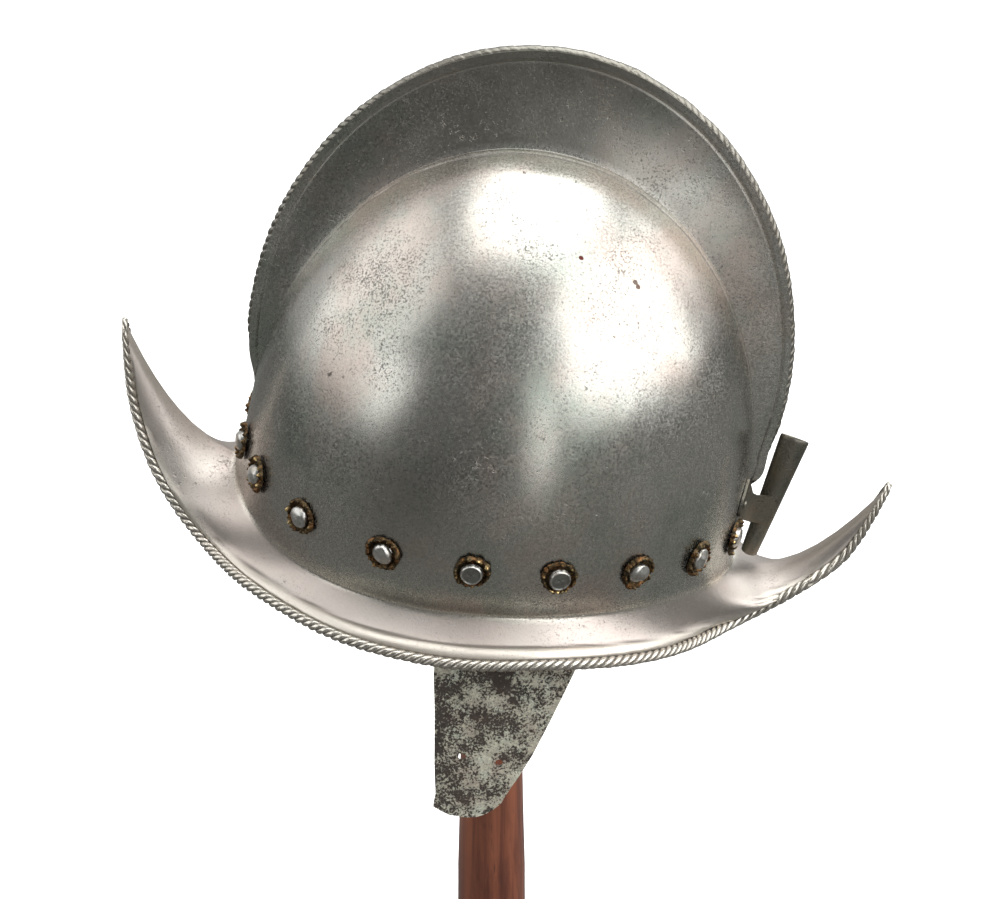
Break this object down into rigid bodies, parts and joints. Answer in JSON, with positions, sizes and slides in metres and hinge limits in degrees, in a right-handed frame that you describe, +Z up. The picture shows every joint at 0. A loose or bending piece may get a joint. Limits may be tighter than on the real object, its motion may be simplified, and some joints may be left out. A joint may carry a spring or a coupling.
{
  "type": "comb morion helmet on a wooden stand",
  "caption": "Open steel helmet with a tall crest, a boat-shaped brim with upturned points, riveted rosettes, cheek plates and a plume tube, held on an upright turned wooden post and round base.",
  "frame": {"origin": "centre of the underside of the stand's round base", "axes": "+Z up along the post, +X towards the back of the helmet, so the front point is at -X, and -Y is the wearer's left; the middle plane of helmet and stand is y = 0"},
  "size_m": [0.3452, 0.2328, 0.5101],
  "materials": {
    "patinated_steel": "polished plate with a grey-brown patina, fine dark pits and bright worn edges",
    "rivet_steel": "bright worn domed heads",
    "rosette_brass": "thin beaten brass, dark with age, bright on its raised folds",
    "pitted_steel": "deeply pitted, brown-black rust spots with pale grey-green patches between",
    "dark_steel": "dull dark patina",
    "stand_wood": "red-brown varnish over straight upright grain"
  },
  "bodies": {
    "root": {"helmet_shell": "patinated_steel", "rivet_01": "rivet_steel", "rosette_01": "rosette_brass", "rivet_02": "rivet_steel", "rosette_02": "rosette_brass", "rivet_03": "rivet_steel", "rosette_03": "rosette_brass", "rivet_04": "rivet_steel", "rosette_04": "rosette_brass", "rivet_05": "rivet_steel", "rosette_05": "rosette_brass", "rivet_06": "rivet_steel", "rosette_06": "rosette_brass", "rivet_07": "rivet_steel", "rosette_07": "rosette_brass", "rivet_08": "rivet_steel", "rosette_08": "rosette_brass", "rivet_09": "rivet_steel", "rosette_09": "rosette_brass", "rivet_10": "rivet_steel", "rosette_10": "rosette_brass", "rivet_11": "rivet_steel", "rosette_11": "rosette_brass", "rivet_12": "rivet_steel", "rosette_12": "rosette_brass", "rivet_13": "rivet_steel", "rosette_13": "rosette_brass", "rivet_14": "rivet_steel", "rosette_14": "rosette_brass", "rivet_15": "rivet_steel", "rosette_15": "rosette_brass", "rivet_16": "rivet_steel", "rosette_16": "rosette_brass", "rivet_17": "rivet_steel", "rosette_17": "rosette_brass", "rivet_18": "rivet_steel", "rosette_18": "rosette_brass", "cheek_plate_left": "pitted_steel", "plume_rivet_left": "dark_steel", "cheek_plate_right": "pitted_steel", "plume_rivet_right": "dark_steel", "plume_holder": "dark_steel", "stand_pole": "stand_wood", "stand_base": "stand_wood"}
  },
  "joints": []
}
